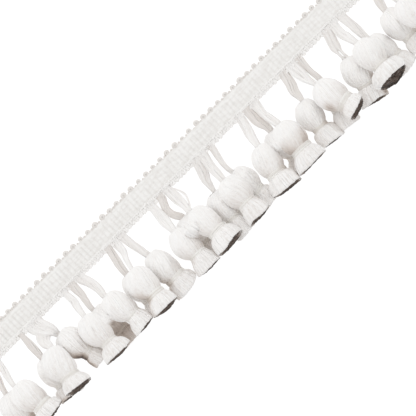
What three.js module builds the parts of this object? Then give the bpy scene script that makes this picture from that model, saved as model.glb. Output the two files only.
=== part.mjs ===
// Onion tassel fringe trim: a cut length of ribbed heading with a picot edge, and tassels
// hanging from it in threes. Each tassel is one bundle of yarn: a flat strand that leaves the
// heading, a ball (the onion), a neck that a tie draws in, and a flared skirt with a cut end.
// The trim lies on its back. A first layer of tassels rests on the surface, and the others
// ride up on them, so their strands climb from the heading.
//
// Millimetres. +X runs along the trim, +Y toward the picot edge, +Z up. The origin is the
// middle of the underside of the whole trim's box.

import * as THREE from 'three';

// Heading.
const LENGTH = 246;            // cut length of the trim
const BAND_WIDTH = 10.9;       // lower edge to the foot of the picots
const BAND_THICKNESS = 1.6;
const PICOTS = 57;
const PICOT_PITCH = 4.24;
const PICOT_HEIGHT = 1.7;
const PICOT_FOOT = 3.1;        // width of a picot where it leaves the band
const PICOT_TOP = 1.6;         // width of its flattened top

// Tassels hang in groups, and the groups repeat along the heading.
const GROUP_PITCH = 25.4;
const FIRST_GROUP = -113.8;    // x of the first group

// A tassel of size 1, measured down its own axis from the centre of its ball.
const BALL_RADIUS = 6.5;
const DEPTH = 0.85;            // thickness of a ball or neck over its width
const POLE = -6.8;             // where the strand enters the ball
const SKIRT_START = 9.3;
const SKIRT_DEPTH = 0.72;      // thickness of a skirt over its width
const DISH = 1.3;              // hollow of the cut end
const NECK_RADIUS = 3.45;
const BALL_PROFILE = [         // one ring of the ball and neck for each row
  { down: -5.8, radius: 3.5 },
  { down: -3.4, radius: 5.6 },
  { down: 0.0, radius: BALL_RADIUS },
  { down: 3.4, radius: 5.9 },
  { down: 5.9, radius: 4.6 },
  { down: 7.3, radius: NECK_RADIUS },
  { down: SKIRT_START, radius: NECK_RADIUS },
];
const SKIRT_PROFILE = [        // one ring of the skirt for each row, as shares of its length
  { share: 0.5, width: 0.74 }, // and of the width of its end
  { share: 1.0, width: 1.0 },
];

// Tie: a ring of yarn round the neck.
const TIE_HEIGHT = 1.7;
const TIE_THICKNESS = 0.75;

// How it all lies.
const GAP = 0.3;               // between pieces that touch
const FLAT_SPOT = 0.45;        // how far a resting ball is pressed flat
const LAYER_RISE = 9.9;        // height of the second layer over the first
const STRAND_THICKNESS = 1.3;
const STRAND_STATIONS = [0, 0.36, 0.7];  // rings along the strand, before the ball's pole
const SIDES = 9;               // sides of every ring

// One row for each tassel.
//   group   which group it hangs in
//   dx      centre of its ball along the trim, from the middle of the group
//   drop    centre of its ball below the heading's lower edge
//   layer   0 rests on the surface, 1 lies on the tassels below
//   lean    degrees that the tassel swings along the trim, skirt toward +X
//   pitch   degrees that its skirt tips up
//   size    over a tassel of size 1
//   skirt   width of the skirt's end
//   tail    length of the skirt
//   root    where its strand leaves the heading, from the middle of the group
//   strand  width of the strand
//   bow     how far the strand swings out along +X on its way
//   lift    how far it is lifted on its way, where one strand crosses another
const COLUMNS = ['group', 'dx', 'drop', 'layer', 'lean', 'pitch', 'size', 'skirt', 'tail',
  'root', 'strand', 'bow', 'lift'];
const TASSELS = [
  [0, -0.9, 18.0, 0.0, -6, 0, 0.92, 11.0, 5.5, 2.5, 3.0, 0.4, 0],
  [0, 7.0, 18.4, 1.0, 4, 7, 0.93, 13.0, 4.8, 6.5, 3.0, 0.3, 0],
  [1, -4.2, 18.4, 0.0, -4, 2, 0.92, 13.0, 5.2, -3.7, 2.8, 0.0, 0],
  [1, -0.7, 17.8, 1.0, -7, 13, 0.98, 16.0, 5.0, 5.2, 2.8, -3.0, -3],
  [1, 9.6, 16.2, 0.1, 17, 4, 0.96, 9.6, 5.5, 1.2, 3.0, 1.2, 4.6],
  [2, -5.4, 18.8, 1.0, -2, 9, 1.00, 13.8, 5.5, -3.4, 3.0, 1.0, 0],
  [2, 0.6, 19.2, 0.0, 9, 0, 0.94, 11.6, 5.4, 0.9, 2.8, 0.2, 0],
  [2, 7.8, 18.8, 0.9, 8, 8, 0.95, 11.0, 5.6, 4.6, 3.3, 2.6, 0],
  [3, -5.5, 18.4, 0.0, 0, 0, 0.92, 11.6, 5.4, -4.0, 2.8, 0.0, 0],
  [3, -3.6, 18.8, 1.05, -2, 11, 0.96, 13.6, 6.4, 0.1, 2.8, 1.2, 0],
  [3, 7.5, 20.2, 0.1, 4, 3, 0.90, 11.2, 6.0, 4.0, 2.8, -0.8, 0],
  [4, -5.5, 20.3, 0.9, -2, 6, 0.86, 11.0, 6.5, -3.9, 4.0, 0.6, 0],
  [4, 1.5, 18.2, 0.0, 3, 0, 0.92, 11.6, 5.6, 1.9, 2.8, -2.6, 0],
  [4, 6.8, 18.8, 1.0, 4, 14, 0.95, 13.6, 6.4, 5.4, 3.2, 1.4, 0],
  [5, -8.5, 19.7, 0.0, -4, 2, 0.90, 11.2, 6.6, -4.0, 2.8, 1.6, 0],
  [5, -0.4, 19.2, 1.0, 0, 9, 0.92, 12.2, 6.2, -0.4, 3.3, 0.0, 0],
  [5, 5.4, 19.2, 0.0, 12, 2, 0.90, 11.6, 5.6, 5.6, 2.2, -0.4, 0],
  [6, -7.2, 19.5, 0.85, -5, 12, 0.95, 11.6, 6.2, -3.1, 3.0, 0.2, 0],
  [6, 1.2, 18.8, 0.0, -11, 0, 0.92, 11.6, 5.6, 0.8, 3.2, 1.0, 0],
  [6, 5.5, 19.2, 1.0, -2, 7, 0.96, 13.6, 6.1, 5.3, 3.2, 0.0, 0],
  [7, -7.3, 19.2, 0.1, -3, 5, 0.87, 10.4, 6.8, -3.0, 3.0, 2.0, 0],
  [7, 4.1, 18.6, 1.0, 17, 16, 0.97, 12.0, 5.6, 2.5, 3.8, 0.4, 0],
  [7, 5.0, 18.8, 0.0, -10, 0, 0.90, 10.6, 5.6, 6.2, 2.2, 0.4, 0],
  [8, -6.8, 20.2, 0.0, -15, 4, 0.88, 12.4, 6.6, -3.4, 2.8, -0.6, 0],
  [8, 2.2, 18.4, 1.0, 0, 16, 0.95, 15.4, 6.3, 0.9, 3.2, -0.6, 0],
  [8, 7.5, 20.0, 0.0, 9, 2, 0.90, 10.8, 5.6, 5.9, 3.2, 0.4, 0],
  [9, -6.0, 18.0, 0.0, 5, 2, 0.90, 10.8, 5.2, -3.2, 3.0, 1.0, 0],
  [9, 1.5, 18.0, 0.95, 0, 8, 0.92, 11.6, 5.4, 0.7, 3.0, 0.0, 0],
].map((row) => Object.fromEntries(row.map((value, k) => [COLUMNS[k], value])));

const UP = new THREE.Vector3(0, 0, 1);
const DOWN = new THREE.Vector3(0, -1, 0);  // down a hanging tassel, away from the heading
const cotton = (color) => new THREE.MeshStandardMaterial({ color, roughness: 0.95, metalness: 0 });
const padded = (index) => String(index + 1).padStart(2, '0');

// The heading: one extruded outline, straight along its lower edge and scalloped with picots
// along the other.
function heading() {
  const outline = new THREE.Shape();
  outline.moveTo(-LENGTH / 2, 0);
  outline.lineTo(LENGTH / 2, 0);
  outline.lineTo(LENGTH / 2, BAND_WIDTH);
  for (let k = PICOTS - 1; k >= 0; k -= 1) {
    const middle = (k - (PICOTS - 1) / 2) * PICOT_PITCH;
    outline.lineTo(middle + PICOT_FOOT / 2, BAND_WIDTH);
    outline.lineTo(middle + PICOT_TOP / 2, BAND_WIDTH + PICOT_HEIGHT);
    outline.lineTo(middle - PICOT_TOP / 2, BAND_WIDTH + PICOT_HEIGHT);
    outline.lineTo(middle - PICOT_FOOT / 2, BAND_WIDTH);
  }
  outline.lineTo(-LENGTH / 2, BAND_WIDTH);
  const geometry = new THREE.ExtrudeGeometry(outline, { depth: BAND_THICKNESS, bevelEnabled: false });
  const mesh = new THREE.Mesh(geometry, cotton(0xf0f0ee));
  mesh.name = 'heading';
  return mesh;
}

// One ring of a bundle: its corners round a centre, across the direction in which the yarn
// runs. A flat side faces down, so that a resting tassel has a flat spot.
function ring(centre, along, up, halfWidth, halfDepth) {
  const side = new THREE.Vector3().crossVectors(up, along).normalize();
  const top = new THREE.Vector3().crossVectors(along, side);
  return Array.from({ length: SIDES }, (_, k) => {
    const angle = 2 * Math.PI * (k + 0.5) / SIDES - Math.PI / 2;
    return centre.clone()
      .addScaledVector(side, halfWidth * Math.cos(angle))
      .addScaledVector(top, halfDepth * Math.sin(angle));
  });
}

// A closed skin over rings of corners: flat at the first ring, and drawn to a point inside
// the last one.
function skin(rings, point) {
  const corners = rings.flat().concat(point);
  const last = (rings.length - 1) * SIDES;
  const faces = [];
  for (let k = 1; k < SIDES - 1; k += 1) faces.push(0, k + 1, k);
  for (let k = 0; k < SIDES; k += 1) {
    const next = (k + 1) % SIDES;
    for (let row = 0; row < last; row += SIDES) {
      faces.push(row + k, row + SIDES + next, row + SIDES + k);
      faces.push(row + k, row + next, row + SIDES + next);
    }
    faces.push(last + k, last + next, corners.length - 1);
  }
  const geometry = new THREE.BufferGeometry().setFromPoints(corners);
  geometry.setIndex(faces);
  geometry.computeVertexNormals();
  return geometry;
}

// The route of a strand in its tassel's own frame: out of the heading square to its edge, and
// into the ball along the tassel's axis.
function strandRoute(hub, row, root) {
  const start = hub.worldToLocal(root.clone());
  const pole = new THREE.Vector3(0, -POLE * row.size, 0);
  const reach = start.distanceTo(pole) / 3;
  const swing = new THREE.Vector3(row.bow, 0, row.lift);
  const leaving = hub.worldToLocal(root.clone().add(new THREE.Vector3(0, -reach, 0)).add(swing));
  const entering = pole.clone().add(new THREE.Vector3(0, reach, 0)).add(swing);
  return new THREE.CubicBezierCurve3(start, leaving, entering, pole);
}

// The bundle of one tassel, from the heading to its cut end.
function bundle(hub, row, root) {
  const toHub = hub.quaternion.clone().invert();
  const up = UP.clone().applyQuaternion(toHub);
  const square = DOWN.clone().applyQuaternion(toHub);
  const at = (distance) => new THREE.Vector3(0, -distance * row.size, 0);
  const route = strandRoute(hub, row, root);
  const rings = STRAND_STATIONS.map((t) => ring(
    route.getPoint(t), t ? route.getTangent(t) : square, up, row.strand / 2, STRAND_THICKNESS / 2));
  rings.push(ring(at(POLE), DOWN, UP, row.strand / 2, STRAND_THICKNESS / 2));
  for (const { down, radius } of BALL_PROFILE) {
    rings.push(ring(at(down), DOWN, UP, radius * row.size, radius * row.size * DEPTH));
  }
  const neck = SKIRT_START * row.size;
  for (const { share, width } of SKIRT_PROFILE) {
    const half = row.skirt / 2 * width;
    const centre = new THREE.Vector3(0, -neck - row.tail * share, 0);
    rings.push(ring(centre, DOWN, UP, half, half * SKIRT_DEPTH));
  }
  for (const corner of rings.flat()) {
    hub.localToWorld(corner);
    corner.z = Math.max(corner.z, 0);
    hub.worldToLocal(corner);
  }
  return skin(rings, new THREE.Vector3(0, DISH - neck - row.tail, 0));
}

// The tie: a ring of square section, turned about the tassel's axis and flattened with the
// neck.
function tie(row) {
  const inner = NECK_RADIUS * row.size + GAP / DEPTH;
  const outer = inner + TIE_THICKNESS;
  const profile = [[inner, -1], [outer, -1], [outer, 1], [inner, 1], [inner, -1]]
    .map(([radius, end]) => new THREE.Vector2(radius, end * TIE_HEIGHT * row.size / 2));
  const geometry = new THREE.LatheGeometry(profile, SIDES, Math.PI / SIDES + Math.PI);
  const mesh = new THREE.Mesh(geometry, cotton(0xf4f4f2));
  mesh.position.y = -(BALL_PROFILE.at(-2).down + SKIRT_START) / 2 * row.size;
  mesh.scale.z = DEPTH;
  return mesh;
}

function tassel(row, index) {
  const group = FIRST_GROUP + row.group * GROUP_PITCH;
  const hub = new THREE.Group();
  const rest = BALL_RADIUS * row.size * DEPTH - FLAT_SPOT;
  hub.position.set(group + row.dx, -row.drop, rest + row.layer * LAYER_RISE);
  const { degToRad } = THREE.MathUtils;
  hub.rotation.set(-degToRad(row.pitch), 0, degToRad(row.lean), 'ZYX');
  hub.updateMatrixWorld();
  const root = new THREE.Vector3(group + row.root, -GAP, BAND_THICKNESS / 2);
  const body = new THREE.Mesh(bundle(hub, row, root), cotton(0xececea));
  body.name = `tassel_${padded(index)}`;
  const wrap = tie(row);
  wrap.name = `tie_${padded(index)}`;
  hub.add(body, wrap);
  return hub;
}

const trim = new THREE.Group();
trim.add(heading(), ...TASSELS.map(tassel));
const middle = new THREE.Box3().setFromObject(trim, true).getCenter(new THREE.Vector3());
trim.position.set(-middle.x, -middle.y, 0);

export default trim;
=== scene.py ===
"""Onion tassel fringe trim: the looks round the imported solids.

A ribbed cotton heading with a picot edge, and tassels that hang from it in threes. Each
tassel is one skein of soft-spun yarn: a flat strand leaves the heading, the skein is folded
over it into a ball, a tie draws in the neck, and the cut ends flare into a skirt.
"""

import math

import bpy
import numpy as np
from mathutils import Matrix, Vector


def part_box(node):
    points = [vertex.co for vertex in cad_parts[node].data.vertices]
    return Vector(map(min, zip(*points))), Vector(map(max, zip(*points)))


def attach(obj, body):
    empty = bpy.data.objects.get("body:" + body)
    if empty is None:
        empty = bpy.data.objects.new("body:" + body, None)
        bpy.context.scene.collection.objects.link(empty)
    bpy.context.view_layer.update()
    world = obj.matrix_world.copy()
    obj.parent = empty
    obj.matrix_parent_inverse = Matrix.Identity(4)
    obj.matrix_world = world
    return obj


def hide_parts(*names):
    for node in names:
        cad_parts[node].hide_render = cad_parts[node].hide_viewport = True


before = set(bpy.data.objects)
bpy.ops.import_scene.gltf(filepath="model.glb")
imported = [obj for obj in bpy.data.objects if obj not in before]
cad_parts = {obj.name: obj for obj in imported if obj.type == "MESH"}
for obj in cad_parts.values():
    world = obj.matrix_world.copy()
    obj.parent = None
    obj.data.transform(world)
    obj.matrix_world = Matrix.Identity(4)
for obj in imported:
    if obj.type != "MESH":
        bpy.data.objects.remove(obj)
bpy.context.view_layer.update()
MM = 0.001

# ---------------------------------------------------------------- sizes, in millimetres

# A tassel of size 1, down its own axis from the centre of its ball.
TIE_DOWN = 8.3
TIE_HEIGHT = 1.7
SKIRT_START = 9.3
NECK_RADIUS = 3.45
POLE = -6.4               # where the strand enters the ball
DEPTH = 0.85              # thickness of a ball or neck over its width
SIDES = 9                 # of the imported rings, which have a corner 10 degrees off the side
BALL_LINE = [             # (down, radius) that an outer yarn follows, pole to neck
    (-4.4, 0.9), (-5.7, 1.5), (-6.35, 2.5), (-5.9, 3.75), (-4.75, 5.0), (-2.9, 6.1),
    (-0.7, 6.65), (1.5, 6.65), (3.5, 6.25), (5.1, 5.6), (6.4, 4.8), (7.2, 4.1),
    (8.2, 3.75), (9.1, 4.1),
]
SKIRT_LINE = [            # (share of its length, share of its end's width)
    (0.10, 0.76), (0.30, 0.88), (0.55, 0.95), (0.8, 0.99), (0.92, 1.0), (1.0, 1.0),
]

# Yarns.
OUTER_YARNS = 56          # round a ball
OUTER_SPREAD = 0.95       # half the width of an outer yarn over the room that it has
OUTER_HALF_HEIGHT = 0.3   # the most that it may have
BALL_STATIONS, YARN_SIDES = 34, 5
CORE_SIDES = 24
CORE_INSET = 0.3          # how far the core lies under the outer yarns' outside
HOLLOW = 1.8              # how deep the core is hollowed at the cut end
END_YARNS = 44            # the cut ends that fill a skirt
END_LENGTH = 2.6
END_TURN = 2.4            # radians from each cut end to the next, close to the golden angle
STRAND_CUTS = 6           # places where a packed strand is measured
STRAND_STATIONS = 20
STRAND_YARN = 0.36        # size of a yarn of a strand, a little more across and less in height
STRAND_HALF_DEPTH = 0.42  # half the thickness of a bundle of them

# Ties.
TIE_WRAPS = 4
TIE_CORD = 0.4            # half the thickness of a wrap
TIE_STEPS = 40

# Heading.
RIB_PITCH = 2.12
RIB_RISE = 0.38
RIB_COLUMNS = 6           # of corners, to each rib
BAND_FRONT, BAND_BACK = 1.15, 0.05      # heights of the tape between its ribs
BAND_ROWS = [             # distances from the lower edge, before the foot of the picots
    0, 0.3, 0.8, 1.4, 2.0, 2.4, 2.8, 3.4, 4.6, 6.0, 7.4, 8.4, 8.9, 9.2, 9.5, 9.9, 10.4,
]
PICOT_PITCH = 4.24
PICOT_HEIGHT = 1.7
PICOTS = 57
PICOT_ROWS = [            # (shift along the trim over the pitch, up from the foot, size)
    (0, 0.5, 1), (0.5, -0.05, 0.5),
]
STITCH_PITCH = 2.12
STITCH_ROWS = [           # (up from the lower edge, lean, pitch, size)
    (0.4, 0.6, STITCH_PITCH, 0.9), (1.45, -0.5, STITCH_PITCH / 2, 0.62),
    (2.3, 0.5, STITCH_PITCH / 2, 0.62),
]

# The view: how much of the trim it spans, and where its middle lies.
VIEW_WIDTH = 171.6
VIEW_BELOW_EDGE = 16.8
VIEW_HEIGHT = 8
VIEW_TURN = -45           # degrees

# How the light fails as yarns lie deeper among their neighbours: (share, tint).
# This shade is part of the colour, so it shows from every side and in any light.
SHADE_TINTS = [(0.0, "#FFFFFF"), (0.35, "#DED6D0"), (0.7, "#AB9C91"), (1.0, "#574A43")]

# How the body of each tassel differs from the next, a row for each; lengths in millimetres.
# With proud or tip over 0 it leaves its solid, by up to 10.5 mm in row 13. The proud balls run
# into their neighbours by up to 5 mm, and their yarns part by up to 1 mm low on their sides.
#   twist   how far the skein turns round the ball, in radians
#   neck    how far the tie has slipped along the trim
#   hem     how far the cut end has
#   narrow  neck and cut end over their usual width
#   broad
#   longer  how much longer the skirt is, all round
#   lip     on its upper side alone
#   slant   on its upper side toward +X, less toward -X
#   slope   toward -X, less toward +X
#   low     shade under the ball, just above the tie
#   left    shade on the side toward -X, where a neighbour crowds it
#   right   and toward +X
#   deep    shade on the whole neck and skirt, under its neighbours
#   proud   how much further its ball swells up between its neighbours, over its depth
#   belly   how far its ball lies along the trim from its solid
#   plump   width of its ball over its usual width
#   crown   how much higher the top of its ball reaches
#   curl    how far its cut end draws in, over its width
#   tip     how much higher its neck and skirt lie than their solids
#   bell    how soon the skirt reaches its full width
#   sunk    how deep the tie bites into the neck
#   bow     how much shorter the skirt is at its two sides than in the middle
BODY_COLUMNS = ("twist", "neck", "hem", "narrow", "broad", "longer", "lip", "slant", "slope",
                "low", "left", "right", "deep", "proud", "belly", "plump", "crown", "curl", "tip",
                "bell", "sunk", "bow")
BODIES = [
    (0.5, 1, 0.6, 1, 1, 0, 0.3, 0, 0, 0.1, 0, 0.45, 0.05, 0.4, 0, 1, 0, 0, 1.5, 0, 0, 0),
    (0.7, 1.2, 1.3, 1.15, 1, -0.1, 0.4, 0, 0.9, 0.34, 0, 0, 0, 0, 0, 1, 0, 0, 0, 1.2, 0, 0),
    (-0.4, 0, 0, 1, 0.95, 0.1, 0, 1.3, 0, 0.05, 0, 0.4, 0.05, 0.4, 0, 1, 0, 0, 4, 1.4, 0, 0),
    (0.8, 1.1, 1.7, 1.12, 0.8, 0, -0.15, 0.4, 0, 0.08, 0, 0, 0, 0, 0, 1, 0, 0.03, 0, 0, 0.2, 0.5),
    (0.7, 0, 0, 0.93, 1, 0, 0.9, 0, -0.3, 0.3, 0.88, 0.3, 0.08, 0.6, 0, 0.98, 0, 0, 3, 0.3, 0, 0),
    (0.6, 1.1, 0.8, 1, 0.98, -0.2, 0.42, 0.3, 0.4, 0.22, 0, 0, 0, 0, -0.2, 0.93, 0, 0, 0, 0, 0.4, 0.4),
    (-0.5, 0, 0, 1, 0.9, -0.2, 0.6, 0, 0, 0.1, 0, 0, 0.55, 1.5, 0, 1, 0, 0.02, 0, 0, 0, 0),
    (0.9, 1.6, 0.9, 1, 1, 0, 0.45, -0.3, -0.3, 0.12, 0, 0, 0, 0, 0.5, 0.93, 0, 0.02, 0, 0, 0.4, 0),
    (0.4, 0, 0, 1, 1, 0, 0.6, 0, 0, 0.1, 0, 0, 0, 0.6, 0, 1, 0, 0, 0, 0, 0, 0),
    (0.6, 1.2, 0.7, 1.06, 0.94, -0.1, 0.3, -0.2, 0, 0.18, 0.4, 0, 0, 0, 0, 1, 0, 0, 0, 0, 0, 0.5),
    (1, 0, 0.4, 1.28, 1.2, 0.3, 0.9, 0, 1, 0.18, 0.35, 0, 0, 0.7, -0.2, 0.96, 1.3, 0, 1.5, 0.6, 0, 1.2),
    (0.8, 1.7, 1.6, 1.25, 1.1, 0, 0.3, -0.2, 0, 0.3, 0.15, 0, 0, 0, 0.2, 0.95, 1.2, 0, 0, 0, 0.45, 0.3),
    (-0.4, 0, 0, 1, 1, 0, 0.6, 0, 0, 0.1, 0, 0, 0.22, 1.8, 0, 1.08, 0, 0, 0, 0, 0, 0),
    (0.5, 1, 0.5, 1.1, 1.06, 0.2, 0.5, -0.8, -0.2, 0.18, 0, 0, 0, 0, 0.75, 0.87, 0, 0.02, 0, 0, 0, 0.3),
    (0.6, 0.5, 0.9, 1, 0.95, 0.5, 0.8, 0, 0.8, 0.1, 0.05, 0.05, 0, 0.8, 0, 1, 0, 0, 5, 0.5, 0, 0),
    (-0.7, 0, 0, 1.2, 0.97, 0.6, 0.2, 0.7, 0.4, 0.24, 0, 0.1, 0, 0, 0, 1, 0, 0.02, 0, 0, 0.45, 0.3),
    (0.6, -0.8, -1.3, 1, 0.9, 0.5, 0.7, 0, 0, 0.08, 0, 0, 0, 0.8, 0, 0.97, 0, 0, 3, 1.2, 0, 0),
    (0.7, -0.7, -1, 1.14, 1.21, 0, 0.8, -0.35, -0.5, 0.24, 0, 0.25, 0, 0, -0.5, 0.92, 0, 0.02, 0, 0.4, 0, 0),
    (-0.5, 2.5, 1.2, 0.88, 0.8, -1, 0.6, 0, 0, 0.2, 0.2, 0, 0.12, 1.5, 0, 1, 0, 0, 0, 0, 0, 0),
    (0.6, 0.4, -0.3, 1.22, 1.12, 0, 0.6, 0, 0.2, 0.8, 0, 0, 0, 0, 0.4, 0.97, 0, 0, 0, -0.2, 0, 0),
    (0.5, 0, 0.2, 1, 1.12, 0, 0.3, 0, -0.5, 0.08, 0.1, 0.2, 0, 0.4, 0, 1, 0.6, 0, 1.5, 0.8, 0, 0),
    (0.9, 0.3, 0, 1.12, 0.96, -0.3, -0.1, 0.3, 0.4, 0.25, 0.15, 0, 0, 0, 0, 1, 0, 0.08, 0, 0.2, 0.1, 0.9),
    (-0.4, 0, -0.7, 1, 1.05, 1.4, 0.6, 0, 0, 0.1, 0, 0.3, 0.05, 0.3, 0, 1, 0, 0, 2, 0, 0, 0),
    (0.5, 1.7, 1.1, 1.2, 1.05, 0, 0, -1, 0, 0, 0, 0.15, 0, 0.5, 0.4, 1, 1.2, 0, 3, 0.6, 0, 0),
    (0.8, 0, -0.2, 1, 1.1, 1, -1.6, 0, 0, 0.12, 0, 0, 0, 0, 0, 1, 0, 0.16, 0, 0.7, 0.1, 1.8),
    (0.6, 0.7, 0.3, 1, 1, 0.6, 0.8, 0, 0, 0.08, 0.45, 0, 0, 0.6, 0, 1, 0, 0, 3, 0.5, 0, 0),
    (0.4, 0, 0, 1, 1, 0.4, 0.4, 0.2, 0, 0.08, 0, 0.2, 0.03, 0.8, 0, 1, 1.1, 0, 1.5, 0.3, 0, 0),
    (0.7, 0, 0, 1, 1, 0.2, 0.6, 0, 0, 0.05, 0, 0, 0, 0, 0, 1, 0, 0, 0, 0, 0, 0),
]

# How each strand hangs; lengths in millimetres.
#   wind    turns of its yarns on their way to the ball
#   dim     how much its neighbours shade it
#   top     how far it lies toward +X from its solid, at the heading,
#   mid     half-way down
#   foot    and where it enters the ball
#   wide_*  how wide it is at each of the three
#   lobes   bundles side by side
#   part    how far the bundles part above the foot, over their width
STRAND_COLUMNS = ("wind", "dim", "top", "mid", "foot", "wide_top", "wide_mid", "wide_foot",
                  "lobes", "part")
STRANDS = [
    (0.3, 0.15, 0, 0.3, 0.6, 3, 3, 2.2, 1, 0),
    (0.2, 0.03, 0.5, -0.2, -0.8, 3, 2.9, 2.1, 1, 0),
    (0.2, 0.15, 0.1, -0.1, -0.2, 2.2, 3.3, 2.5, 1, 0),
    (0.3, 0.03, 0.8, 1.9, 2.2, 3.6, 5.8, 3.6, 2, 0),
    (0.3, 0.02, 1.8, 1.1, 0, 7.2, 7, 3.1, 3, 0),
    (0.2, 0.02, -0.5, -0.2, 0.7, 2.8, 3.4, 2.3, 1, 0),
    (0.3, 0.14, -0.3, 0.3, 0, 3.8, 2.9, 2, 1, 0),
    (0.3, 0.04, 0.4, 0, 0.3, 4, 4.1, 2.7, 2, 0),
    (0.1, 0.15, 0.4, 0, 0, 3.2, 3.3, 2.7, 1, 0),
    (0.2, 0.02, 0.2, 0.1, 1, 3.7, 2.5, 1.9, 1, 0),
    (0.3, 0.06, 0.2, 0.4, -0.5, 3.8, 3.4, 2.8, 1, 0),
    (0.1, 0.02, 0.2, -0.2, 0.9, 3.8, 4.4, 3.2, 2, 0),
    (0.3, 0.15, -0.3, 0, 0.8, 3.6, 3.1, 3, 1, 0),
    (0.2, 0.03, 0.3, -0.8, -0.5, 3.6, 4.2, 3, 2, 0.3),
    (0.4, 0.06, 0.9, -0.6, 1.4, 3.7, 4.3, 2.1, 2, 0),
    (0.2, 0.03, 1.2, -0.2, -0.2, 4.2, 3.8, 2.9, 2, 0),
    (0.2, 0.08, 0.1, -0.1, 0.2, 3, 2, 1.9, 1, 0),
    (0.2, 0.02, 0.2, -0.1, 0.6, 3.8, 4, 2.9, 1, 0),
    (0.2, 0.14, 0.5, -1.1, -0.1, 3.8, 4.2, 3, 1, 0),
    (0.3, 0.03, 0.3, -0.5, 0.3, 4.4, 3.3, 3.4, 2, 0),
    (0.2, 0.12, 0.3, -1, 1.7, 4.2, 4.5, 2.1, 1, 0),
    (0.2, 0.02, -0.4, 0.2, 1, 5.2, 4.6, 2.6, 3, 0),
    (0.2, 0.15, 0.2, -0.7, 0.2, 3.5, 2.4, 2.6, 1, 0),
    (0.1, 0.06, 0.4, -0.8, -0.2, 4.4, 4.7, 3, 2, 1.25),
    (0.2, 0.02, 0.2, -0.3, -0.4, 3.8, 3.5, 2.7, 2, 0),
    (0.3, 0.05, 0, 0.3, 0.1, 3.8, 3.7, 3, 1, 0),
    (0.2, 0.12, 0, 0.2, 1.1, 3.4, 3.8, 2.6, 1, 0),
    (0.2, 0.03, 0, -0.4, -0.4, 3.4, 4, 3.4, 1, 0),
]

# Small dents in a ball, and spots of painted shade on a ball, neck or skirt where neighbours crowd it:
# (tassel, along the trim, down the tassel, width, length, depth, shade).
DENTS_AND_SHADE_SPOTS = [(5, 0.5, -0.5, 0.5, 0.5, 0.3, 0.2), (6, 0.2, 1.0, 0.5, 1.2, 0.3, 0.2),
         (8, -1.7, 0.3, 0.5, 1.0, 0.25, 0.2), (16, 1.2, 0.6, 0.5, 0.8, 0.5, 0.2),
         (22, -5.4, 4.6, 2.0, 2.8, 0, 0.5), (5, -2.8, 7.0, 1.3, 1.6, 0, 0.8),
         (5, -4.2, 11.5, 1.0, 3.0, 0, 0.75), (18, -1.5, 2.2, 3.2, 2.0, 0.15, 0.05),
         (7, 0.8, 3.7, 1.8, 1.3, 0, 0.7), (24, 4.0, 6.0, 1.3, 1.6, 0, 0.7),
         (24, 5.6, 13.6, 1.0, 1.2, 0, 0.65), (3, -4.5, 13.6, 3.0, 0.8, 0, 0.5)]
# Single yarns that swing clear of their strand: (tassel, side, how far past the edge).
LOOSE = [(14, 1, 2.2), (14, 1, 1.7), (14, 1, 0.3)]


# ---------------------------------------------------------------- reading the frame

def triangles(node):
    """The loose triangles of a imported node, in metres."""
    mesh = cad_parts[node].data
    mesh.calc_loop_triangles()
    places = np.empty(len(mesh.vertices) * 3)
    mesh.vertices.foreach_get("co", places)
    corners = np.empty(len(mesh.loop_triangles) * 3, dtype=int)
    mesh.loop_triangles.foreach_get("vertices", corners)
    return places.reshape(-1, 3)[corners].reshape(-1, 3, 3)


def slice_across(faces, y):
    """Lowest and highest corner of where the plane of this y cuts some triangles."""
    cut = []
    for a, b in ((0, 1), (1, 2), (2, 0)):
        p, q = faces[:, a], faces[:, b]
        crosses = (p[:, 1] - y) * (q[:, 1] - y) < 0
        p, q = p[crosses], q[crosses]
        share = ((y - p[:, 1]) / (q[:, 1] - p[:, 1]))[:, None]
        cut.append(p + (q - p) * share)
    cut = np.concatenate(cut)
    return cut.min(0), cut.max(0)


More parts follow.
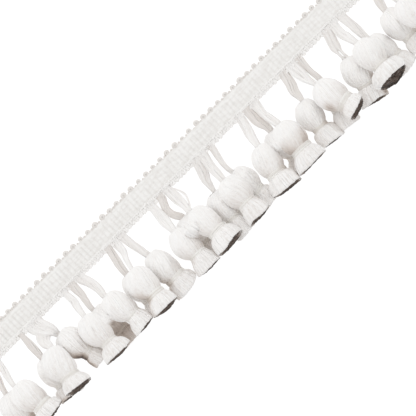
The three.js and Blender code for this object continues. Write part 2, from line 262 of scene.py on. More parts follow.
class Tassel:
    """Where one tassel lies, from its packed bundle and tie."""

    def __init__(self, number, edge):
        self.node, self.tie = f"tassel_{number:02d}", f"tie_{number:02d}"
        self.number = number
        self.look = dict(zip(BODY_COLUMNS, BODIES[number - 1]))
        self.hang = dict(zip(STRAND_COLUMNS, STRANDS[number - 1]))
        self.random = np.random.default_rng(700 + number)
        ring = np.unique(triangles(self.tie).reshape(-1, 3).round(7), axis=0)
        middle = ring.mean(0)
        _, axes = np.linalg.eigh(np.cov((ring - middle).T))
        down, top, _ = axes.T
        self.down = down * -np.sign(down[1])
        self.top = top * np.sign(top[2])
        self.side = np.cross(self.top, self.down)
        along = (ring - middle) @ self.down
        self.size = (along.max() - along.min()) / (TIE_HEIGHT * MM)
        self.middle = middle - self.down * TIE_DOWN * self.size * MM
        faces = triangles(self.node)
        local = (faces.reshape(-1, 3) - self.middle) @ np.array([self.side, self.top, self.down]).T
        self.end = local[:, 2].max()
        rim = local[local[:, 2] > self.end - 0.4 * MM]
        self.end_width = np.abs(rim[:, 0]).max() / math.cos(math.radians(90 / SIDES))
        self.end_depth = rim[:, 1].max()
        pole = self.at(0, 0, POLE * self.size * MM)
        stops = np.linspace(edge - 0.5 * MM, pole[1] + 0.9 * MM, STRAND_CUTS)
        cuts = [slice_across(faces, y) for y in stops]
        last = STRAND_CUTS - 1
        drift = np.interp(np.arange(STRAND_CUTS), (0, last / 2, last),
                          [self.hang[at] * MM for at in ("top", "mid", "foot")])
        self.strand = [np.array([(lo[0] + hi[0]) / 2 + dx, y, (lo[2] + hi[2]) / 2])
                       for y, (lo, hi), dx in zip(stops, cuts, drift)]

    def sway(self, down):
        """How far the yarns lie along the trim from the tassel's own axis."""
        foot, belly = self.hang["foot"], self.look["belly"]
        neck, hem = self.look["neck"], self.look["hem"]
        stops = POLE, -4.6, -2.5, 1.5, 5.0, TIE_DOWN, self.end / (self.size * MM)
        sways = (0.4 * foot + 0.5 * belly, 0.3 * foot + 0.7 * belly, 0.1 * foot + 0.9 * belly,
                 belly, 0.5 * (neck + belly), neck, hem)
        return np.interp(np.asarray(down) / (self.size * MM), stops, sways) * MM

    def at(self, x, z, down):
        """A place in the tassel's own frame, as a place in the row's frame."""
        tip = self.look["tip"] * np.clip(np.asarray(down) / (6 * self.size * MM) - 0.2, 0, 1) * MM
        return (self.middle + np.multiply.outer(x + self.sway(down), self.side)
                + np.multiply.outer(z + tip, self.top) + np.multiply.outer(down, self.down))


# ---------------------------------------------------------------- curves and tubes

def smooth_line(points, count):
    """Points evenly spaced along a smooth curve through some points (Catmull-Rom)."""
    points = np.asarray(points, dtype=float)
    padded = np.vstack([2 * points[0] - points[1], points, 2 * points[-1] - points[-2]])
    fine = []
    for k in range(len(points) - 1):
        a, b, c, d = padded[k:k + 4]
        t = np.linspace(0, 1, 12, endpoint=False)[:, None]
        fine.append(0.5 * (2 * b + (c - a) * t + (2 * a - 5 * b + 4 * c - d) * t ** 2
                           + (3 * b - a - 3 * c + d) * t ** 3))
    fine = np.vstack([*fine, points[-1:]])
    length = np.concatenate([[0], np.cumsum(np.linalg.norm(np.diff(fine, axis=0), axis=1))])
    wanted = np.linspace(0, length[-1], count)
    return np.stack([np.interp(wanted, length, column) for column in fine.T], 1)


def unit(vectors):
    return vectors / np.maximum(np.linalg.norm(vectors, axis=-1, keepdims=True), 1e-12)


def step(value, start, reach):
    """Rises from 0 at its start to 1, once the value is its reach further."""
    return np.clip((value - start) / reach, 0, 1)


def hump(value, middle, reach):
    """1 in the middle, and it falls away smoothly on each side."""
    return np.exp(-((value - middle) / reach) ** 2)


class Skein:
    """Many closed tubes and skins, gathered into one mesh."""

    def __init__(self):
        self.places, self.faces, self.slots = [], [], []
        self.lay, self.shade = [], []
        self.count = 0

    def take(self, places, faces, lay, shade, slots):
        places = places.reshape(-1, 3)
        self.places.append(places)
        self.faces.extend([tuple(np.add(face, self.count)) for face in faces])
        self.lay.append(np.broadcast_to(lay, places.shape))
        self.shade.append(np.broadcast_to(shade, len(places)))
        self.slots.extend(slots)
        self.count += len(places)

    def tubes(self, paths, outward, half_width, half_height, sides, shade=0.0, slot=0,
              end_slot=0, closed=False):
        """Tubes along paths (yarn, station, xyz); outward is the way their flat side faces."""
        yarns, stations, _ = paths.shape
        if closed:
            tangent = unit(np.roll(paths, -1, axis=1) - np.roll(paths, 1, axis=1))
        else:
            tangent = unit(np.gradient(paths, axis=1))
        side = unit(np.cross(tangent, outward))
        top = np.cross(side, tangent)
        turn = 2 * np.pi * np.arange(sides) / sides + np.pi / 2
        half_width = np.broadcast_to(half_width, (yarns, stations))[..., None, None]
        half_height = np.broadcast_to(half_height, (yarns, stations))[..., None, None]
        across, rise = np.cos(turn)[:, None], np.sin(turn)[:, None]
        places = (paths[:, :, None] + side[:, :, None] * half_width * across
                  + top[:, :, None] * half_height * rise)
        steps = np.linalg.norm(np.diff(paths, axis=1), axis=-1)
        length = np.concatenate([np.zeros((yarns, 1)), np.cumsum(steps, axis=1)], axis=1)
        offset = np.arange(yarns)[:, None] * 13 * MM
        lay = np.stack([
            np.broadcast_to((length + offset)[..., None], places.shape[:3]),
            np.broadcast_to((half_width * across)[..., 0], places.shape[:3]),
            np.broadcast_to((half_width * rise)[..., 0], places.shape[:3])], -1)
        index = np.arange(yarns * stations * sides).reshape(yarns, stations, sides)
        near = np.roll(index, -1, axis=2)
        if closed:
            far, far_near = np.roll(index, -1, axis=1), np.roll(near, -1, axis=1)
            quads = np.stack([index, far, far_near, near], -1).reshape(-1, 4)
            faces, slots = quads.tolist(), [slot] * len(quads)
        else:
            quads = np.stack([index[:, :-1], index[:, 1:], near[:, 1:], near[:, :-1]], -1)
            quads = quads.reshape(-1, 4)
            caps = index[:, 0].tolist() + index[:, -1, ::-1].tolist()
            faces = quads.tolist() + caps
            slots = [slot] * (len(quads) + yarns) + [end_slot] * yarns
        shade = np.broadcast_to(np.asarray(shade, dtype=float), (yarns, stations))
        shade = np.broadcast_to(shade[..., None], places.shape[:3]).reshape(-1)
        self.take(places, faces, lay.reshape(-1, 3), shade, slots)

    def skin(self, rings, first, last, shade, last_slot=0):
        """A closed skin over rings (ring, corner, xyz), drawn to a point at each end."""
        count, sides, _ = rings.shape
        places = np.concatenate([rings.reshape(-1, 3), [first, last]])
        index = np.arange(count * sides).reshape(count, sides)
        near = np.roll(index, -1, axis=1)
        quads = np.stack([index[:-1], index[1:], near[1:], near[:-1]], -1).reshape(-1, 4).tolist()
        start = [(count * sides, a, b) for a, b in zip(index[0], near[0])]
        end = [(count * sides + 1, b, a) for a, b in zip(index[-1], near[-1])]
        self.take(places, quads + start + end, places, shade,
                  [0] * (len(quads) + sides) + [last_slot] * sides)

    def made(self, name, *materials):
        mesh = bpy.data.meshes.new(name)
        mesh.from_pydata(np.concatenate(self.places).tolist(), [], self.faces)
        mesh.polygons.foreach_set("material_index", np.array(self.slots, dtype=np.int32))
        mesh.polygons.foreach_set("use_smooth", np.ones(len(self.faces), dtype=bool))
        lay = mesh.attributes.new("lay", "FLOAT_VECTOR", "POINT")
        lay.data.foreach_set("vector", np.concatenate(self.lay).reshape(-1))
        shade = mesh.attributes.new("shade", "FLOAT", "POINT")
        shade.data.foreach_set("value", np.concatenate(self.shade))
        for material in materials:
            mesh.materials.append(material)
        mesh.update()
        piece = bpy.data.objects.new(name, mesh)
        bpy.context.scene.collection.objects.link(piece)
        return piece


# ---------------------------------------------------------------- materials

def linear(colour):
    """An sRGB hex colour as linear red, green, blue and alpha."""
    parts = [int(colour[k:k + 2], 16) / 255 for k in (1, 3, 5)]
    return [c / 12.92 if c <= 0.04045 else ((c + 0.055) / 1.055) ** 2.4 for c in parts] + [1.0]


def add(tree, kind, links=None, **settings):
    """Adds a node, sets its inputs to values or links them to sockets, and sets its settings."""
    made = tree.nodes.new(kind)
    for name, value in settings.items():
        setattr(made, name, value)
    for name, value in (links or {}).items():
        if isinstance(value, bpy.types.NodeSocket):
            tree.links.new(value, made.inputs[name])
        else:
            made.inputs[name].default_value = value
    return made


def blank(name):
    material = bpy.data.materials.new(name)
    material.use_nodes = True
    material.node_tree.nodes.clear()
    return material, material.node_tree


def ramp(tree, fac, *stops):
    """A colour ramp through two or more stops, each a place and a hex colour."""
    made = add(tree, "ShaderNodeValToRGB", {"Fac": fac})
    for place, _ in stops[1:-1]:
        made.color_ramp.elements.new(place)
    for element, (place, tone) in zip(made.color_ramp.elements, stops):
        element.position, element.color = place, linear(tone)
    return made.outputs["Color"]


def noise(tree, lay, long, wide, detail):
    """Noise along the lay of the yarn, its grains this long and wide in millimetres."""
    stretched = add(tree, "ShaderNodeMapping", {
        "Vector": lay.outputs["Vector"],
        "Scale": (1 / (long * MM), 1 / (wide * MM), 1 / (wide * MM))})
    made = add(tree, "ShaderNodeTexNoise", {
        "Vector": stretched.outputs["Vector"], "Scale": 1.0, "Detail": detail,
        "Roughness": 0.6})
    return made.outputs["Fac"]


def times(tree, one, other):
    made = add(tree, "ShaderNodeMixRGB", {"Fac": 1.0, "Color1": one, "Color2": other},
               blend_type="MULTIPLY")
    return made.outputs["Color"]


def cotton(name, colour, gap_shade, gap_shade_reach, fibre, bump, patch, patch_size):
    """Soft matt cotton: the lit surface, painted shade where yarns lie close together, patches and fibres.
    """
    material, tree = blank(name)
    lay = add(tree, "ShaderNodeAttribute", attribute_name="lay")
    shade = add(tree, "ShaderNodeAttribute", attribute_name="shade")
    fibres = noise(tree, lay, fibre * 12, fibre, 2.0)
    # Painted shade: the colour darkens toward its gap colour wherever ambient occlusion finds other surfaces
    # close by.
    gaps = add(tree, "ShaderNodeAmbientOcclusion", {"Distance": gap_shade_reach * MM}, samples=8)
    depth = ramp(tree, gaps.outputs["AO"], (0.02, gap_shade), (0.36, colour))
    tint = ramp(tree, shade.outputs["Fac"], *SHADE_TINTS)
    shaded = times(tree, depth, tint)
    patches = noise(tree, lay, *patch_size, 3.0)
    faded = ramp(tree, patches, (0.38, patch), (0.6, "#FFFFFF"))
    patched = times(tree, shaded, faded)
    relief = add(tree, "ShaderNodeBump", {
        "Height": fibres, "Strength": 1.0, "Distance": bump * MM})
    surface = add(tree, "ShaderNodeBsdfPrincipled", {
        "Base Color": patched, "Roughness": 0.92, "Sheen Weight": 0.2,
        "Sheen Roughness": 0.6, "IOR": 1.45, "Normal": relief.outputs["Normal"]})
    add(tree, "ShaderNodeOutputMaterial", {"Surface": surface.outputs["BSDF"]})
    return material


# ---------------------------------------------------------------- pieces

def round_profile(tassel):
    """Down and radius of an outer yarn's outside, and depth over width, at each station."""
    size = tassel.size * MM
    look = tassel.look
    line = []
    for down, radius in BALL_LINE:
        on_neck, above = np.clip(down / 7 - 0.3, 0, 1), np.clip(-(down + 0.7) / 5, 0, 1)
        wide = look["plump"] + (look["narrow"] - look["plump"]) * on_neck
        line.append((down * size - look["crown"] * above * MM, radius * size * wide))
    start = SKIRT_START * size
    tail = tassel.end + look["longer"] * MM - start
    for share, wide in SKIRT_LINE:
        share = np.power(share, 1 + look["bell"])
        line.append((start + share * tail, wide * tassel.end_width * look["broad"]
                     * (1 - look["curl"] * max(0, share - 0.7) / 0.3)))
    line = smooth_line(line, BALL_STATIONS)
    flare = np.clip((line[:, 0] - start) / tail, 0, 1)
    depth = DEPTH + (tassel.end_depth / tassel.end_width - DEPTH) * flare
    return line[:, 0], line[:, 1], depth, flare


def cut_line(look, angle):
    """How much longer the skirt is than its usual length, going round its cut end."""
    across, above = np.cos(angle), np.clip(np.sin(angle), 0, 1)
    lip = look["lip"] * above ** (1 if look["lip"] > 0 else 4)
    return lip + (look["slant"] * above - look["slope"] - look["bow"] * across) * across


def rested(places, clearance):
    """Places kept at least this high over the surface that the trim lies on."""
    places[..., 2] = np.maximum(places[..., 2], clearance)
    return places


def painted_crowding_shade(look, place, angle, flare):
    """Painted shade on the outer yarns from whatever crowds their tassel, and inside the lower rim of its
    skirt.

    The place is down the axis of a tassel of size 1, and the angle goes round it."""
    on_skirt = np.clip(3 * flare, 0, 1)
    low = step(place, 2.6, 2.2) * (1 - 0.35 * flare)
    under_ball = step(place, -0.5, 6.5) * step(8.6 - place, 0, 1.2)
    beside = step(place, 0.5, 5.0) * (1 - 0.5 * on_skirt)
    rim = 0.3 + 0.45 * on_skirt
    inside = np.clip(-0.3 - 1.6 * np.sin(angle), 0, 1) * flare ** 2
    return np.maximum.reduce([
        np.broadcast_to(look["deep"] * low, angle.shape), inside,
        look["low"] * under_ball * (0.42 + 0.2 * np.sin(3 * angle)),
        look["left"] * beside * step(-np.cos(angle), rim, 0.9 - rim),
        look["right"] * beside * step(np.cos(angle), rim, 0.9 - rim)])


def ball_and_skirt(skein, tassel, ends):
    """The outer yarns of a tassel, each from the pole over the ball to its cut end."""
    random, size, look = tassel.random, tassel.size * MM, tassel.look
    down, radius, depth, flare = round_profile(tassel)
    place = down / size
    pitch = 2 * np.pi / OUTER_YARNS
    start = (np.arange(OUTER_YARNS) + random.uniform(-0.2, 0.2, OUTER_YARNS)) * pitch
    share = np.linspace(0, 1, BALL_STATIONS)
    on_ball = np.clip((down + 6.0 * size) / (14.0 * size), 0, 1)
    twist = look["twist"] * on_ball
    wander = sum(random.uniform(-0.2, 0.2, (OUTER_YARNS, 1)) * pitch
                 * np.sin(np.pi * wave * share + random.uniform(0, 6.3, (OUTER_YARNS, 1)))
                 for wave in (1, 2.3))
    angle = start[:, None] + twist + wander * (1 - 0.5 * flare)
    # The folds of the skein part it into lobes, with a crease between each two.
    lobes = random.integers(4, 7)
    creases = (np.arange(lobes) + random.uniform(-0.3, 0.3, lobes)) * 2 * np.pi / lobes
    apart = np.abs((start[:, None] - creases + np.pi) % (2 * np.pi) - np.pi)
    crease = hump(apart, 0, 0.22) @ random.uniform(0.0, 0.1, lobes)
    lobe_rise = random.normal(0, 0.035, OUTER_YARNS) + 0.2 * np.sin(
        start * lobes / 2 + random.uniform(0, 6.3))
    top_part = hump(place, -4.2, 3.4)
    # Where the skein opens out under the ball, single yarns stand out, and some are given painted shade as
    # yarns that catch less light.
    single = np.random.default_rng(100 + tassel.number)
    opened = step(place, -2.0, 9.0)
    loose = single.normal(0, 0.075, (OUTER_YARNS, 1)) * opened ** 2
    fleck = (single.random((OUTER_YARNS, 1)) ** 4 * 0.09 * opened
             + single.random(angle.shape) ** 4 * (0.035 + 0.09 * opened))
    lift = (lobe_rise[:, None] * np.sin(np.pi * on_ball) - crease[:, None] * top_part
            + loose) * MM
    around = 2 * np.pi * radius * (1 + depth) / 2
    half_width = around / OUTER_YARNS * OUTER_SPREAD
    half_height = np.minimum(OUTER_HALF_HEIGHT * MM, half_width * 0.9)
    spread = radius + lift - half_height
    # Tufts and uneven lengths at the cut end.
    tuft = 0.04 * np.sin(start * 5 + random.uniform(0, 6.3))
    length = (random.normal(0, 0.07, OUTER_YARNS)
              + 0.13 * np.sin(start * 3 + random.uniform(0, 6.3))
              + cut_line(look, angle[:, -1]))
    spread = spread * (1 + tuft[:, None] * flare)
    along = down + length[:, None] * MM * flare ** 2
    # Small dents, spots of painted shade, and the painted shade of whatever crowds the tassel.
    shade = painted_crowding_shade(look, place, angle, flare)
    for number, dent_x, dent_down, wide, long, dent_depth, dark in DENTS_AND_SHADE_SPOTS:
        if number == tassel.number:
            dent_and_spot = np.exp(-((spread * np.cos(angle) / MM - dent_x) / wide) ** 2
                          - ((down / MM - dent_down) / long) ** 2) * (np.sin(angle) > -0.3)
            spread, shade = spread - dent_and_spot * dent_depth * MM, np.maximum(shade, dark * dent_and_spot)
    shade = np.minimum(shade + fleck, 1)
    x, z = spread * np.cos(angle), spread * depth * np.sin(angle)
    swell = np.clip(1.25 - np.abs(place - 0.5) / 6, 0, 1) * (np.sin(angle) > 0)
    z = z * (1 + look["proud"] * swell)
    paths = rested(tassel.at(x, z, along), 0.36 * MM)
    outward = unit(np.multiply.outer(np.cos(angle) * depth, tassel.side)
                   + np.multiply.outer(np.sin(angle), tassel.top))
    skein.tubes(paths, outward, half_width, half_height, YARN_SIDES, shade=shade,
                end_slot=ends)


def core(skein, tassel, ends):
    """The body of the skein under its outer yarns, hollowed at the cut end."""
    down, radius, depth, flare = round_profile(tassel)
    keep = np.arange(2, BALL_STATIONS, 2)
    angle = np.linspace(0, 2 * np.pi, CORE_SIDES, endpoint=False)
    inside = radius[keep] - CORE_INSET * MM
    x = np.multiply.outer(inside, np.cos(angle))
    z = np.multiply.outer(inside * depth[keep], np.sin(angle))
    short = np.minimum(cut_line(tassel.look, angle), 0) - 0.5
    y = down[keep, None] + np.multiply.outer(flare[keep] ** 2, short) * MM
    rings = rested(tassel.at(x, z, y), 0.5 * MM)
    # The core carries a little painted shade where it shows between the outer yarns, and its hollow at the
    # cut end takes the painted shade of the cut ends.
    skein.skin(rings, tassel.at(0, 0, down[keep[0]]),
               tassel.at(0, 0, tassel.end - HOLLOW * MM), 0.12, last_slot=ends)


def cut_ends(skein, tassel, ends):
    """Short lengths of the inner yarns, which fill the skirt up to its cut end."""
    random, look = tassel.random, tassel.look
    reach = np.sqrt(random.uniform(0.02, 0.68, END_YARNS)) * (1 - look["curl"])
    angle = np.arange(END_YARNS) * END_TURN
    shares = np.array([0.0, 0.5, 1.0])
    wide = np.multiply.outer(reach * tassel.end_width * look["broad"], 0.8 + 0.2 * shares)
    x, z = wide * np.cos(angle)[:, None], wide * np.sin(angle)[:, None]
    z = z * tassel.end_depth / tassel.end_width
    stop = tassel.end - (0.9 - 0.6 * reach + random.uniform(-0.4, 0.4, END_YARNS)
                         - look["longer"]
                         - reach * np.minimum(cut_line(look, angle), 0)) * MM
    y = stop[:, None] - END_LENGTH * MM * (1 - shares)
    paths = rested(tassel.at(x, z, y), 0.5 * MM)
    outward = np.broadcast_to(tassel.top, paths.shape)
    # These inner yarns are drawn wholly in the dark painted shade of the cut ends.
    skein.tubes(paths, outward, 0.5 * MM, 0.42 * MM, YARN_SIDES, slot=ends, end_slot=ends)


def strand(skein, tassel, edge):
    """The flat strand of yarns from the heading into the pole of the ball."""
    random, hang = tassel.random, tassel.hang
    first = tassel.strand[0]
    anchor = np.array([first[0], edge + 1.5 * MM, 1.45 * MM])
    inside = tassel.at(0.6 * hang["foot"] * MM, 0, -4.6 * tassel.size * MM)
    line = smooth_line([anchor, *tassel.strand, inside], STRAND_STATIONS)
    share = np.linspace(0, 1, STRAND_STATIONS)
    tangent = unit(np.gradient(line, axis=0))
    side = unit(np.cross(tangent, [0, 0, 1.0]))
    side = side * np.sign(side[0, 0])
    top = np.cross(tangent, side)
    top = top * np.sign(top[0, 2])
    widths = smooth_line([(0, hang["wide_top"] * 1.02), (0.1, hang["wide_top"]),
                          (0.5, hang["wide_mid"]), (0.86, hang["wide_foot"]),
                          (1, hang["wide_foot"] * 0.9)], 60)
    width = np.interp(share, widths[:, 0], widths[:, 1]) * MM
    yarn, half_depth, lobes = STRAND_YARN * MM, STRAND_HALF_DEPTH * MM, hang["lobes"]
    parted = hang["part"] * hump(share, 0.68, 0.11)
    for lobe in range(lobes):
        off = (lobe + 0.5) / lobes - 0.5
        own = width / lobes * (1 if lobes == 1 else 1.2 - 0.75 * parted)
        half_width = np.maximum(own / 2 - yarn, 0.15 * MM)
        wave = random.uniform(-0.25, 0.25) * np.sin(2 * np.pi * share + random.uniform(0, 6.3)) * MM
        lift = (lobes > 1) * 0.12 * np.cos(np.pi * lobe) * np.sin(np.pi * share) * MM
        middle = (line + ((off * width + wave * (lobes > 1)) * (1 - 0.3 * share))[:, None] * side
                  + lift[:, None] * top)
        count = int(np.clip(round(hang["wide_mid"] / lobes / 0.19), 10, 20))
        turn = (np.arange(count) * 2 * np.pi / count)[:, None]
        turn = turn + 2 * np.pi * hang["wind"] * share + random.uniform(-0.15, 0.15, (count, 1))
        loose = random.normal(0, 0.09, (count, 1)) * np.sin(np.pi * share) * MM
        across = half_width * np.cos(turn) + loose
        rise = half_depth * np.sin(turn)
        paths = middle + across[..., None] * side + rise[..., None] * top
        outward = np.broadcast_to(top, paths.shape)
        fleck = 0.08 * random.random((count, 1)) ** 2
        skein.tubes(paths, outward, yarn * 1.15, yarn * 0.8, YARN_SIDES,
                    shade=hang["dim"] + fleck)
        skein.tubes(middle[None], top[None], half_width, half_depth, 8, shade=hang["dim"])
    for number, way, reach in LOOSE:
        if number == tassel.number:
            run = step(share, 0.12, 0.76)
            swing = way * (width / 2 * (1 - 0.5 * run) + reach * MM * np.sin(np.pi * run) ** 0.8)
            path = line + swing[:, None] * side + 0.2 * MM * top
            skein.tubes(path[None], top[None], 0.3 * MM, 0.26 * MM, YARN_SIDES, shade=0.08)


def tassel_piece(tassel, edge, yarn, ends):
    """All the yarns of one tassel, with the painted shade of the cut ends as their second material."""
    skein, cut = Skein(), 1
    ball_and_skirt(skein, tassel, cut)
    core(skein, tassel, cut)
    cut_ends(skein, tassel, cut)
    strand(skein, tassel, edge)
    piece = skein.made(f"yarn_{tassel.node}", yarn, ends)
    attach(piece, "root")
    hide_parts(tassel.node)


def tie_piece(tassel, material):
    """Wraps of yarn round the neck, laid side by side."""
    skein, size, look = Skein(), tassel.size, tassel.look
    cord = TIE_CORD * MM * size
    angle = np.linspace(0, 2 * np.pi, TIE_STEPS, endpoint=False)
    paths, outward = [], []
    for wrap in np.arange(TIE_WRAPS) - (TIE_WRAPS - 1) / 2:
        reach = ((NECK_RADIUS + 0.35) * look["narrow"] + 0.22 - look["sunk"]
                 + tassel.random.uniform(-0.06, 0.06)) * size * MM
        slope = tassel.random.uniform(-0.12, 0.12) * MM
        down = TIE_DOWN * size * MM + wrap * 1.45 * cord + slope * np.sin(angle)
        paths.append(tassel.at(reach * np.cos(angle), reach * DEPTH * np.sin(angle), down))
        outward.append(np.multiply.outer(np.cos(angle) * DEPTH, tassel.side)
                       + np.multiply.outer(np.sin(angle), tassel.top))
    # Painted shade where neighbours crowd the tie or lie over it, and a random tone for each wrap.
    beside = np.maximum(look["left"] * step(-np.cos(angle), 0.2, 0.6),
                        look["right"] * step(np.cos(angle), 0.2, 0.6))
    fleck = tassel.random.uniform(0, 0.14, (TIE_WRAPS, 1))
    shade = np.maximum(0.75 * look["deep"], beside) + fleck
    skein.tubes(np.array(paths), unit(np.array(outward)), cord, cord, 6, closed=True,
                shade=np.minimum(shade, 1))
    piece = skein.made(f"wound_{tassel.tie}", material)
    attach(piece, "root")
    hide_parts(tassel.tie)


def band(edge, far, low, high, material):
    """The ribbed heading: a closed sheet whose front is raised into ribs across its width."""
    ribs = round((high - low) / (RIB_PITCH * MM))
    x = np.linspace(low, high, ribs * RIB_COLUMNS + 1)
    width = far - edge
    rows = np.array([*BAND_ROWS, width / MM]) * MM
    random = np.random.default_rng(41)
    along = (x - low) / (RIB_PITCH * MM)
    phase = along % 1
    rib = np.sqrt(np.maximum(1 - (2 * phase - 1) ** 2, 0))
    uneven = 1 + 0.25 * random.normal(0, 1, ribs + 1)[along.astype(int)]
    across = rows[:, None] / MM
    ribbed = step(across, 2.4, 0.6) * np.clip((9.3 - across) / 0.5, 0.35, 1)
    ledge = 0.15 * hump(across, 9.35, 0.35)
    ledge = ledge - (0.03 + 0.06 * (1 - rib)) * hump(across, 3.0, 0.4)
    front = BAND_FRONT + RIB_RISE * rib * ribbed * uneven + ledge
    front = front - 0.5 * hump(across, 0, 0.25)
    front = front - 0.12 * hump(width / MM - across, 0, 0.25)
    back = np.full_like(front, BAND_BACK) + 0.2 * hump(across, 0, 0.25)
    grid_x = np.broadcast_to(x, front.shape)
    wave = 0.16 * np.cos(2 * np.pi * x / (PICOT_PITCH * MM)) + 0.1 * np.sin(4.7 * phase + x / MM)
    grid_y = edge + rows[:, None] + wave * step(across, 9.6, 1.2) * MM
    upper = np.stack([grid_x, grid_y, front * MM], -1)
    lower = np.stack([grid_x, grid_y, back * MM], -1)
    section = np.concatenate([upper, lower[::-1]])
    skein = Skein()
    rings = section.transpose(1, 0, 2)[:, ::-1]
    # Painted shade in the grooves between the ribs, along the upper edge under the picots, and along a line
    # just above the stitches.
    painted_band_shade = np.concatenate([0.08 * (1 - rib) * step(across, 2.6, 0.6)
                             * np.clip((9.4 - across) / 0.6, 0.2, 1)
                             + 0.12 * hump(width / MM - across, 0, 0.3)
                             + 0.05 * hump(across, 3.0, 0.3), 0 * front])
    shade = np.concatenate([painted_band_shade.T[:, ::-1].reshape(-1), [0, 0]])
    skein.skin(rings, rings[0].mean(0), rings[-1].mean(0), shade)
    return skein.made("ribbed_heading", material)


def copies(skein, template, places, turns, sizes, shade=0.0):
    """Copies of one small mesh, each turned about Z, sized and moved."""
    mesh = template.data
    corners = np.array([vertex.co for vertex in mesh.vertices])
    faces = np.array([list(face.vertices) for face in mesh.polygons])
    cos, sin = np.cos(turns)[:, None], np.sin(turns)[:, None]
    own = corners[None] * np.asarray(sizes)[:, None, None]
    turned = np.stack([own[..., 0] * cos - own[..., 1] * sin,
                       own[..., 0] * sin + own[..., 1] * cos, own[..., 2]], -1)
    count = len(places)
    shifted = (faces[None] + (np.arange(count) * len(corners))[:, None, None]).reshape(-1, 4)
    skein.take(turned + np.asarray(places)[:, None], shifted.tolist(),
               np.tile(corners, (count, 1)), shade, [0] * len(shifted))
    bpy.data.objects.remove(template)


def loop_of_yarn(reach, thick, squash, flat, steps, sides):
    """A small closed loop of yarn, flat on its back: a template to copy."""
    bpy.ops.object.select_all(action="DESELECT")
    bpy.ops.mesh.primitive_torus_add(major_radius=reach * MM, minor_radius=thick * MM,
                                     major_segments=steps, minor_segments=sides)
    loop = bpy.context.object
    bpy.ops.object.mode_set(mode="EDIT")
    bpy.ops.mesh.select_all(action="SELECT")
    bpy.ops.transform.resize(value=(1, squash, flat))
    bpy.ops.object.mode_set(mode="OBJECT")
    return loop


def picots(far, material):
    """The picot edge: a loop of yarn for every second rib, and a smaller one between each two."""
    random = np.random.default_rng(43)
    skein = Skein()
    middle = (np.arange(PICOTS) - (PICOTS - 1) / 2) * PICOT_PITCH * MM
    template = dict(reach=0.5, thick=0.78, squash=0.95, flat=0.75, steps=14, sides=8)
    for shift, up, size in PICOT_ROWS:
        places = np.stack([middle + (shift * PICOT_PITCH + random.normal(0, 0.12, PICOTS)) * MM,
                           far + (up + random.normal(0, 0.1, PICOTS)) * MM,
                           np.full(PICOTS, 0.78 * MM)], 1)
        keep = PICOTS - (shift > 0)
        # The loops carry a little painted shade.
        copies(skein, loop_of_yarn(**template), places[:keep],
               random.normal(0, 0.3, keep), size + random.normal(0, 0.1, keep).clip(-0.2, 0.16),
               0.14)
    return skein.made("picot_edge", material)


def stitches(edge, low, high, material):
    """Three rows of small chain stitches that hold the strands, the lowest along the edge."""
    random = np.random.default_rng(47)
    skein = Skein()
    template = dict(reach=0.56, thick=0.58, squash=0.7, flat=0.8, steps=10, sides=6)
    for up, lean, pitch, size in STITCH_ROWS:
        count = round((high - low) / (pitch * MM)) - 1
        places = np.stack([low + (np.arange(count) + 0.75) * pitch * MM,
                           edge + (up + random.normal(0, 0.1, count)) * MM,
                           np.full(count, (1.5 - 0.4 * size) * MM)], 1)
        copies(skein, loop_of_yarn(**template), places,
               lean + random.normal(0, 0.15, count), size + random.normal(0, 0.08, count))
    return skein.made("chain_stitches", material)


def floor_material():
    """Plain pale paper, matt, that gives off a little light so that it comes out white."""
    material, tree = blank("pale_paper")
    surface = add(tree, "ShaderNodeBsdfPrincipled", {
        "Base Color": linear("#8C8C8C"), "Roughness": 1.0, "IOR": 1.2,
        "Emission Color": linear("#FFFFFF"), "Emission Strength": 0.85})
    add(tree, "ShaderNodeOutputMaterial", {"Surface": surface.outputs["BSDF"]})
    return material


# ---------------------------------------------------------------- stage

def make_camera(target, seen):
    """A long lens straight above, turned so that the trim climbs from lower left."""
    lens = bpy.data.cameras.new("long_lens")
    lens.lens, lens.sensor_width = 300, 36
    camera = bpy.data.objects.new("camera", lens)
    bpy.context.scene.collection.objects.link(camera)
    distance = seen * lens.lens / lens.sensor_width
    camera.location = target + Vector((0, 0, distance))
    camera.rotation_euler = (0, 0, math.radians(VIEW_TURN))
    lens.clip_start, lens.clip_end = distance * 0.1, distance * 10
    bpy.context.scene.camera = camera


def make_lights(target):
    world = bpy.data.worlds.new("soft_room")
    world.use_nodes = True
    background = world.node_tree.nodes["Background"]
    background.inputs["Color"].default_value = (1, 1, 1, 1)
    background.inputs["Strength"].default_value = 0.86
    bpy.context.scene.world = world
    light = bpy.data.lights.new("soft_key", "AREA")
    light.shape, light.size, light.size_y = "RECTANGLE", 1.2, 1.0
    light.energy = 2.2
    key = bpy.data.objects.new("soft_key", light)
    bpy.context.scene.collection.objects.link(key)
    place = Vector((0, 0.55, 0.9))
    key.location = target + place
    key.rotation_euler = (-place).to_track_quat("-Z", "Y").to_euler()


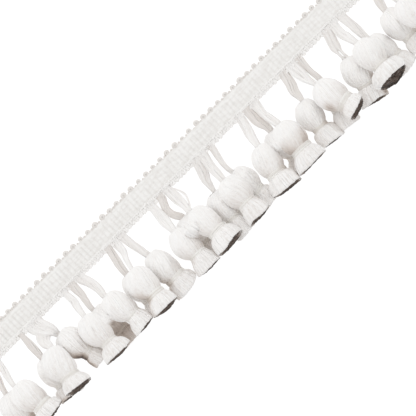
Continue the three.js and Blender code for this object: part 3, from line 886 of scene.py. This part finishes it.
def make_floor():
    bpy.ops.object.select_all(action="DESELECT")
    bpy.ops.mesh.primitive_plane_add(size=6, location=(0, 0, -0.05 * MM))
    floor = bpy.context.object
    floor.name = "pale_floor"
    floor.data.materials.append(floor_material())


heading_low, heading_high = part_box("heading")
edge = heading_low[1]
make_camera(Vector((0, edge - VIEW_BELOW_EDGE * MM, VIEW_HEIGHT * MM)), VIEW_WIDTH * MM)
make_lights(Vector((0, 0, 0)))
make_floor()
scene = bpy.context.scene
scene.view_settings.view_transform = "Standard"

# Soft-spun cotton yarn, for the skeins.
yarn = cotton("soft_spun_cotton_yarn", "#F9F8F7", gap_shade="#ECE6E2", gap_shade_reach=4.0, fibre=0.16,
              bump=0.05, patch="#FCFBFA", patch_size=(7, 2))
# The same yarn cut across, painted dark brown for the shade inside its cut ends, where little light comes
# back out between them.
ends = cotton("cut_cotton_ends_painted_shade", "#64554C", gap_shade="#3E3431", gap_shade_reach=3.0, fibre=0.16,
              bump=0.1, patch="#D8CFC8", patch_size=(3, 1))
# Hard-twisted cotton yarn, for the ties.
tie_cotton = cotton("twisted_cotton_tie", "#F5F4F1", gap_shade="#DDD3CB", gap_shade_reach=3.0, fibre=0.16,
                    bump=0.05, patch="#F8F7F6", patch_size=(4, 2))
# Woven cotton tape, for the heading and its picots.
heading_cotton = cotton("woven_cotton_heading", "#F4F3F1", gap_shade="#E2DAD5", gap_shade_reach=1.2,
                        fibre=0.2, bump=0.05, patch="#F7F6F5", patch_size=(3.5, 1.1))
# Cotton sewing thread, for the chain stitches.
stitch_cotton = cotton("sewing_cotton", "#FBFAF9", gap_shade="#F6F3F1", gap_shade_reach=1.0, fibre=0.16,
                       bump=0.05, patch="#F8F7F5", patch_size=(2, 0.8))

far = heading_high[1] - PICOT_HEIGHT * MM
ends_at = heading_low[0], heading_high[0]
heading = band(edge, far, *ends_at, heading_cotton)
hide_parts("heading")
on_heading = [picots(far, heading_cotton), stitches(edge, *ends_at, stitch_cotton)]
for piece in (heading, *on_heading):
    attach(piece, "root")
for number in range(1, len(BODIES) + 1):
    tassel = Tassel(number, edge)
    tassel_piece(tassel, edge, yarn, ends)
    tie_piece(tassel, tie_cotton)
